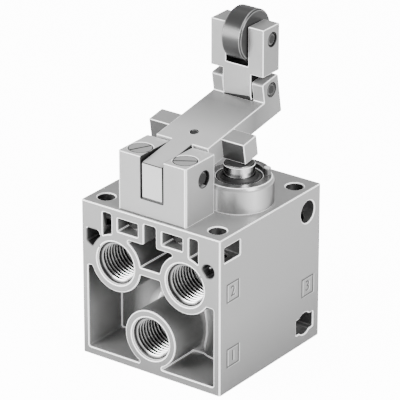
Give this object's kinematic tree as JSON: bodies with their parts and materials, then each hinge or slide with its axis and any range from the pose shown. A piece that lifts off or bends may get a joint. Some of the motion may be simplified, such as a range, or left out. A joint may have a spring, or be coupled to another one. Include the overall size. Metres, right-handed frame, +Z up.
{
  "type": "switching valve",
  "caption": "Mechanically operated switching valve: cast ported body, two plungers under one crossbar lever, and an idle-return roller head that tips one way.",
  "frame": {"origin": "middle of the valve body's underside", "axes": "+Z up along the plungers, the three-port face towards -Y, +X to the right when facing the ports"},
  "size_m": [0.05, 0.0552, 0.1002],
  "materials": {
    "cast_body": "satin die-cast",
    "bracket": "machined",
    "lever_metal": "machined",
    "bar_steel": "ground",
    "head_metal": "machined",
    "fastener": "turned",
    "pin_steel": "ground",
    "plunger_chrome": "polished",
    "collar_steel": "turned",
    "roller_steel": "dark hardened",
    "ring_steel": "spring steel",
    "seal_rubber": "matt",
    "valve_brass": "turned",
    "spring_steel": "drawn wire"
  },
  "bodies": {
    "housing": {"valve_body": "cast_body", "lever_bracket": "bracket", "bracket_screws": "fastener", "bracket_nuts": "fastener", "lever_pin": "pin_steel", "guide_collar_left": "collar_steel", "wiper_ring_left": "seal_rubber", "retaining_ring_left": "ring_steel", "collar_seal_left": "seal_rubber", "plunger_seal_left": "seal_rubber", "seat_ring_left": "valve_brass", "plunger_spring_left": "spring_steel", "poppet_spring_left": "spring_steel", "end_plug_left": "valve_brass", "plug_seal_left": "seal_rubber", "guide_collar_right": "collar_steel", "wiper_ring_right": "seal_rubber", "retaining_ring_right": "ring_steel", "collar_seal_right": "seal_rubber", "plunger_seal_right": "seal_rubber", "seat_ring_right": "valve_brass", "plunger_spring_right": "spring_steel", "poppet_spring_right": "spring_steel", "end_plug_right": "valve_brass", "plug_seal_right": "seal_rubber"},
    "lever_arm": {"lever": "lever_metal", "crossbar": "bar_steel", "crossbar_lock_pin": "pin_steel", "head_pin": "pin_steel"},
    "tipping_head": {"roller_head": "head_metal", "head_return_spring": "spring_steel", "roller_pin": "pin_steel"},
    "roller_wheel": {"roller": "roller_steel", "roller_bush": "valve_brass"},
    "plunger_set_left": {"plunger_left": "plunger_chrome", "poppet_disc_left": "seal_rubber", "poppet_left": "valve_brass"},
    "plunger_set_right": {"plunger_right": "plunger_chrome", "poppet_disc_right": "seal_rubber", "poppet_right": "valve_brass"}
  },
  "joints": [
    {"name": "lever_hinge", "type": "hinge", "parent": "housing", "child": "lever_arm", "pos_m": [0, -0.01545, 0.062], "axis": [-1, 0, 0], "range_deg": [0, 9.5], "stiffness_Nm_per_rad": 1, "springref_deg": -17.19},
    {"name": "head_tip", "type": "hinge", "parent": "lever_arm", "child": "tipping_head", "pos_m": [0, 0.02197, 0.07652], "axis": [1, 0, 0], "range_deg": [0, 60], "stiffness_Nm_per_rad": 0.02, "springref_deg": -28.65},
    {"name": "roller_spin", "type": "hinge", "parent": "tipping_head", "child": "roller_wheel", "pos_m": [0, 0.02187, 0.09232], "axis": [1, 0, 0], "continuous": true},
    {"name": "plunger_left_slide", "type": "slide", "parent": "housing", "child": "plunger_set_left", "axis": [0, 0, -1], "range_m": [0, 0.00248], "deforming": ["plunger_spring_left", "poppet_spring_left"]},
    {"name": "plunger_right_slide", "type": "slide", "parent": "housing", "child": "plunger_set_right", "axis": [0, 0, -1], "range_m": [0, 0.00248], "deforming": ["plunger_spring_right", "poppet_spring_right"]}
  ],
  "couplings": [
    {"joint": "plunger_left_slide", "follows": "lever_hinge", "m_per_rad": 0.014835},
    {"joint": "plunger_right_slide", "follows": "lever_hinge", "m_per_rad": 0.014835}
  ]
}
